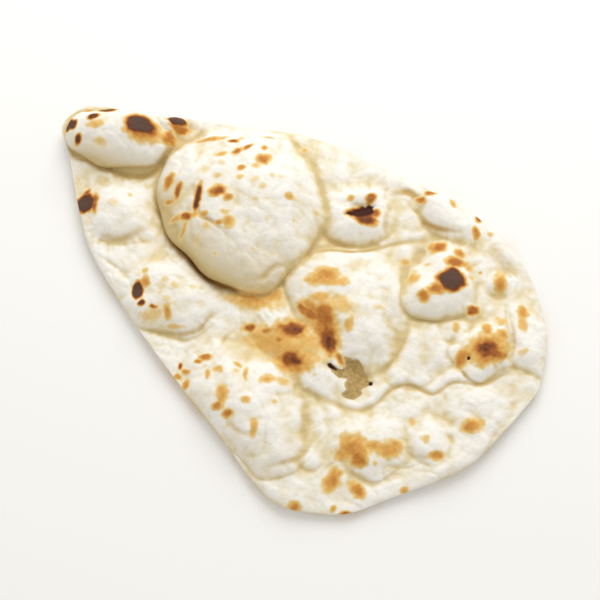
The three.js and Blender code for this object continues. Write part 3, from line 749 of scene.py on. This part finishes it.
def srgb(code):
    """A #rrggbb colour as the linear values that a shader takes."""
    values = [int(code[i:i + 2], 16) / 255 for i in (1, 3, 5)]
    return [v / 12.92 if v <= 0.04045 else ((v + 0.055) / 1.055)**2.4 for v in values] + [1.0]


def add_node(tree, kind, settings=None, inputs=None):
    """One node, with its settings, and its sockets given a value or linked to another socket."""
    node = tree.nodes.new(kind)
    for name, value in (settings or {}).items():
        setattr(node, name, value)
    for name, value in (inputs or {}).items():
        if isinstance(value, bpy.types.NodeSocket):
            tree.links.new(value, node.inputs[name])
        else:
            node.inputs[name].default_value = value
    return node


# Baked naan crust: wheat dough blistered on a hot clay wall. The skin is floury and almost white,
# matt all over, yellow where it folds in, and golden to black where it has touched the heat. The
# yellow of the folds and hollows is partly painted shade; the shadow under steep walls, the shade
# on the flanks of high blisters and the dark in the holes are painted too.
crust = bpy.data.materials.new("baked_naan_crust")
crust.use_nodes = True
tree = crust.node_tree
shader = tree.nodes["Principled BSDF"]
shader.inputs["Roughness"].default_value = 0.72
shader.inputs["Specular IOR Level"].default_value = 0.3
FLOUR_PATCH_MM = 30.0  # broad drifts of flour
FLOUR_BLOTCH_MM = 9.0  # smaller smears of it
FLOUR_SPECK_MM = 2.2  # single specks, drawn coarser than real ones so that they show
EDGE_BREAK_MM = 3.2  # the bubbles that break up a toasted spot
FRAY_MM = 2.4  # the threads of torn crumb
PORE_MM = 1.3  # pores of the skin, coarser than real ones for the same reason


def per_metre(millimetres):
    """The scale of a pattern whose features are that many millimetres."""
    return 1000 / millimetres


# A colour mix has its two colours in these sockets, and gives the mixed one from the last.
MIX_FROM, MIX_TO, MIXED = 6, 7, 2
COLOUR = {"data_type": "RGBA"}
SMOOTH = {"interpolation_type": "SMOOTHSTEP"}

on_the_bread = add_node(tree, "ShaderNodeTexCoord").outputs["Object"]
own = {}
for name in ("cavity", "painted_wall_shadow", "painted_flank_shade", "crease", "toast_and_shade", "torn", "hollow"):
    own[name] = add_node(tree, "ShaderNodeAttribute", {"attribute_name": name}).outputs["Fac"]

# Flour-white humps and cream hollows, blotched and specked. The cream of the hollows is partly the
# dough's own colour and partly painted shade.
patch = add_node(tree, "ShaderNodeTexNoise", None, {
    "Vector": on_the_bread, "Scale": per_metre(FLOUR_PATCH_MM), "Detail": 4.0, "Roughness": 0.6})
blotch = add_node(tree, "ShaderNodeTexNoise", None, {
    "Vector": on_the_bread, "Scale": per_metre(FLOUR_BLOTCH_MM), "Detail": 3.0, "Roughness": 0.6})
blotchy = add_node(tree, "ShaderNodeMath", {"operation": "ADD"}, {
    0: patch.outputs["Fac"], 1: blotch.outputs["Fac"]})
hollowed = add_node(tree, "ShaderNodeMath", {"operation": "MULTIPLY_ADD"}, {
    0: own["cavity"], 1: 1.4, 2: blotchy.outputs[0]})
flour = add_node(tree, "ShaderNodeMapRange", SMOOTH, {
    "Value": hollowed.outputs[0], "From Min": 1.4, "From Max": 2.25})
dough = add_node(tree, "ShaderNodeMix", COLOUR, {
    "Factor": flour.outputs["Result"], MIX_FROM: srgb("#fcfaf4"), MIX_TO: srgb("#e9d9ab")})
speck = add_node(tree, "ShaderNodeTexNoise", None, {
    "Vector": on_the_bread, "Scale": per_metre(FLOUR_SPECK_MM), "Detail": 2.0})
speckled = add_node(tree, "ShaderNodeMapRange", None, {
    "Value": speck.outputs["Fac"], "From Min": 0.5, "From Max": 0.75, "To Max": 0.25})
dusted = add_node(tree, "ShaderNodeMix", COLOUR, {
    "Factor": speckled.outputs["Result"], MIX_FROM: dough.outputs[MIXED],
    MIX_TO: srgb("#eadcb8")})

# Folds are straw yellow, partly the dough's own colour and partly painted shade, and the flanks
# of the high blisters carry painted shade, darker than their tops.
thin_fold = add_node(tree, "ShaderNodeMapRange", SMOOTH, {
    "Value": own["cavity"], "From Min": 0.65, "From Max": 1.05, "To Max": 0.5})
uneven = add_node(tree, "ShaderNodeMath", {"operation": "MULTIPLY"}, {
    0: blotchy.outputs[0], 1: own["crease"]})
pressed_fold = add_node(tree, "ShaderNodeMapRange", None, {
    "Value": uneven.outputs[0], "From Min": 0.12, "From Max": 1.1, "To Max": 0.95})
either_fold = add_node(tree, "ShaderNodeMath", {"operation": "MAXIMUM"}, {
    0: thin_fold.outputs["Result"], 1: pressed_fold.outputs["Result"]})
folded = add_node(tree, "ShaderNodeMix", COLOUR, {
    "Factor": either_fold.outputs[0], MIX_FROM: dusted.outputs[MIXED],
    MIX_TO: srgb("#c8a868")})
flank_shade_share = add_node(tree, "ShaderNodeMath", {"operation": "MULTIPLY"}, {
    0: own["painted_flank_shade"], 1: 0.9})
flank_shaded = add_node(tree, "ShaderNodeMix", COLOUR, {
    "Factor": flank_shade_share.outputs[0], MIX_FROM: folded.outputs[MIXED],
    MIX_TO: srgb("#d2bc80")})

# Painted shadow at the foot of a steep wall, from cream to brown, darkest by the highest, steepest
# walls.
wall_shadow_share = add_node(tree, "ShaderNodeMapRange", SMOOTH, {
    "Value": own["painted_wall_shadow"], "From Min": 0.18, "From Max": 0.95})
wall_shadow_ramp = add_node(tree, "ShaderNodeValToRGB", None, {"Fac": wall_shadow_share.outputs["Result"]})
wall_shadow_ramp.color_ramp.elements[0].color = srgb("#ecdfb8")
wall_shadow_ramp.color_ramp.elements[1].color = srgb("#a67d3b")
wall_shadow_ramp.color_ramp.elements.new(0.6).color = srgb("#dfca94")
shaded = add_node(tree, "ShaderNodeMix", COLOUR, {
    "Factor": wall_shadow_share.outputs["Result"], MIX_FROM: flank_shaded.outputs[MIXED],
    MIX_TO: wall_shadow_ramp.outputs["Color"]})

# The torn crumb, frayed at its edge.
fray = add_node(tree, "ShaderNodeTexNoise", None, {
    "Vector": on_the_bread, "Scale": per_metre(FRAY_MM), "Detail": 3.0, "Roughness": 0.6})
fraying = add_node(tree, "ShaderNodeMath", {"operation": "MULTIPLY_ADD"}, {
    0: fray.outputs["Fac"], 1: 0.5, 2: own["torn"]})
torn_open = add_node(tree, "ShaderNodeMapRange", SMOOTH, {
    "Value": fraying.outputs[0], "From Min": 0.64, "From Max": 0.9})
crumb_colour = add_node(tree, "ShaderNodeValToRGB", None, {"Fac": fray.outputs["Fac"]})
crumb_colour.color_ramp.elements[0].position = 0.3
crumb_colour.color_ramp.elements[0].color = srgb("#a3854a")
crumb_colour.color_ramp.elements[1].position = 0.7
crumb_colour.color_ramp.elements[1].color = srgb("#cdb076")
crumb = add_node(tree, "ShaderNodeMix", COLOUR, {
    "Factor": torn_open.outputs["Result"], MIX_FROM: shaded.outputs[MIXED],
    MIX_TO: crumb_colour.outputs["Color"]})

# Toasting, broken up at its edges, from golden through orange and brown to char.
broken = add_node(tree, "ShaderNodeTexNoise", None, {
    "Vector": on_the_bread, "Scale": per_metre(EDGE_BREAK_MM), "Detail": 3.0,
    "Roughness": 0.65})
breaking = add_node(tree, "ShaderNodeMapRange", None, {
    "Value": broken.outputs["Fac"], "From Min": 0.25, "From Max": 0.75,
    "To Min": 0.86, "To Max": 1.14})
toasted = add_node(tree, "ShaderNodeMath", {"operation": "MULTIPLY", "use_clamp": True}, {
    0: own["toast_and_shade"], 1: breaking.outputs["Result"]})
TOASTING = [
    (0.03, "#f3e6c0"), (0.16, "#efd598"), (0.32, "#e9b966"), (0.46, "#d08c3e"),
    (0.6, "#a8622b"), (0.78, "#6a391d"), (1.0, "#5c4338"),
]
toast_colour = add_node(tree, "ShaderNodeValToRGB", None, {"Fac": toasted.outputs[0]})
stops = toast_colour.color_ramp.elements
stops[0].position = TOASTING[0][0]
stops[-1].position = TOASTING[-1][0]
for heat, _ in TOASTING[1:-1]:
    stops.new(heat)
for stop, (_, code) in zip(stops, TOASTING):
    stop.color = srgb(code)
cover = add_node(tree, "ShaderNodeMapRange", SMOOTH, {
    "Value": toasted.outputs[0], "From Min": 0.02, "From Max": 0.22})
toasted_crust = add_node(tree, "ShaderNodeMix", COLOUR, {
    "Factor": cover.outputs["Result"], MIX_FROM: crumb.outputs[MIXED],
    MIX_TO: toast_colour.outputs["Color"]})

# The burst and the pinholes are painted dark, as painted shade inside the openings.
hole_shade_edge = add_node(tree, "ShaderNodeMath", {"operation": "MULTIPLY_ADD"}, {
    0: fray.outputs["Fac"], 1: 0.4, 2: own["hollow"]})
hole_shade_share = add_node(tree, "ShaderNodeMapRange", SMOOTH, {
    "Value": hole_shade_edge.outputs[0], "From Min": 0.5, "From Max": 0.95})
with_holes = add_node(tree, "ShaderNodeMix", COLOUR, {
    "Factor": hole_shade_share.outputs["Result"], MIX_FROM: toasted_crust.outputs[MIXED],
    MIX_TO: srgb("#43190a")})
tree.links.new(with_holes.outputs[MIXED], shader.inputs["Base Color"])

# Flour and pores, too fine for the mesh.
pores = add_node(tree, "ShaderNodeTexNoise", None, {
    "Vector": on_the_bread, "Scale": per_metre(PORE_MM), "Detail": 4.0, "Roughness": 0.6})
bump = add_node(tree, "ShaderNodeBump", None, {
    "Height": pores.outputs["Fac"], "Strength": 0.5, "Distance": 0.0008})
tree.links.new(bump.outputs["Normal"], shader.inputs["Normal"])
naan_mesh.materials.append(crust)

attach(naan, "root")
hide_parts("naan")

# ---------------------------------------------------------------------------------------------
# The floor: a sheet of matt white paper, wide enough to have no edge in sight. It lies just below
# the bread, so that the two never share a plane.
# ---------------------------------------------------------------------------------------------
FLOOR_REACH = 3.0
FLOOR_DROP = 0.0005
floor_bm = bmesh.new()
bmesh.ops.create_grid(floor_bm, x_segments=1, y_segments=1, size=FLOOR_REACH)
bmesh.ops.translate(floor_bm, verts=floor_bm.verts[:], vec=(0, 0, -FLOOR_DROP))
floor_mesh = bpy.data.meshes.new("floor")
floor_bm.to_mesh(floor_mesh)
floor_bm.free()
floor = bpy.data.objects.new("floor", floor_mesh)
bpy.context.scene.collection.objects.link(floor)
paper = bpy.data.materials.new("white_paper")
paper.use_nodes = True
paper_shader = paper.node_tree.nodes["Principled BSDF"]
paper_shader.inputs["Base Color"].default_value = srgb("#ffffff")
paper_shader.inputs["Roughness"].default_value = 0.9
floor_mesh.materials.append(paper)

# ---------------------------------------------------------------------------------------------
# Light: a large soft window high over the far side, and a bright even room round the bread.
# Both are nearly white, so the bread keeps its own colours.
# ---------------------------------------------------------------------------------------------
room = bpy.data.worlds.new("bright_room")
bpy.context.scene.world = room
room.use_nodes = True
room_light = room.node_tree.nodes["Background"]
room_light.inputs["Color"].default_value = srgb("#fffcf6")
room_light.inputs["Strength"].default_value = 0.66

window = bpy.data.lights.new("window", "AREA")
window.shape = "DISK"
window.size = 1.2
window.energy = 10.8
window_object = bpy.data.objects.new("window", window)
window_place = Vector((-0.42, 0.93, 0.93))
window_turn = (-window_place).to_track_quat("-Z", "Y").to_matrix().to_4x4()
window_object.matrix_world = Matrix.Translation(window_place) @ window_turn
bpy.context.scene.collection.objects.link(window_object)
bpy.context.scene.view_settings.view_transform = "Standard"

# ---------------------------------------------------------------------------------------------
# Camera: a long lens looking steeply down, from the near side of the bread's broad end. It stands
# so far back that its view is 372 mm across at the bread.
# ---------------------------------------------------------------------------------------------
AZIMUTH = math.radians(36)
ELEVATION = math.radians(72)
LENS_MM = 85.0
SENSOR_MM = 36.0
DISTANCE = 0.8783
LOOKED_AT = Vector((0.0215, -0.001, 0.008))

back = Vector((
    math.sin(AZIMUTH) * math.cos(ELEVATION),
    -math.cos(AZIMUTH) * math.cos(ELEVATION),
    math.sin(ELEVATION),
))
camera = bpy.data.cameras.new("camera")
camera.lens = LENS_MM
camera.sensor_width = SENSOR_MM
camera_object = bpy.data.objects.new("camera", camera)
right = Vector((math.cos(AZIMUTH), math.sin(AZIMUTH), 0))
turn = Matrix((right, back.cross(right), back)).transposed().to_4x4()
camera_object.matrix_world = Matrix.Translation(LOOKED_AT + back * DISTANCE) @ turn
bpy.context.scene.collection.objects.link(camera_object)
bpy.context.scene.camera = camera_object
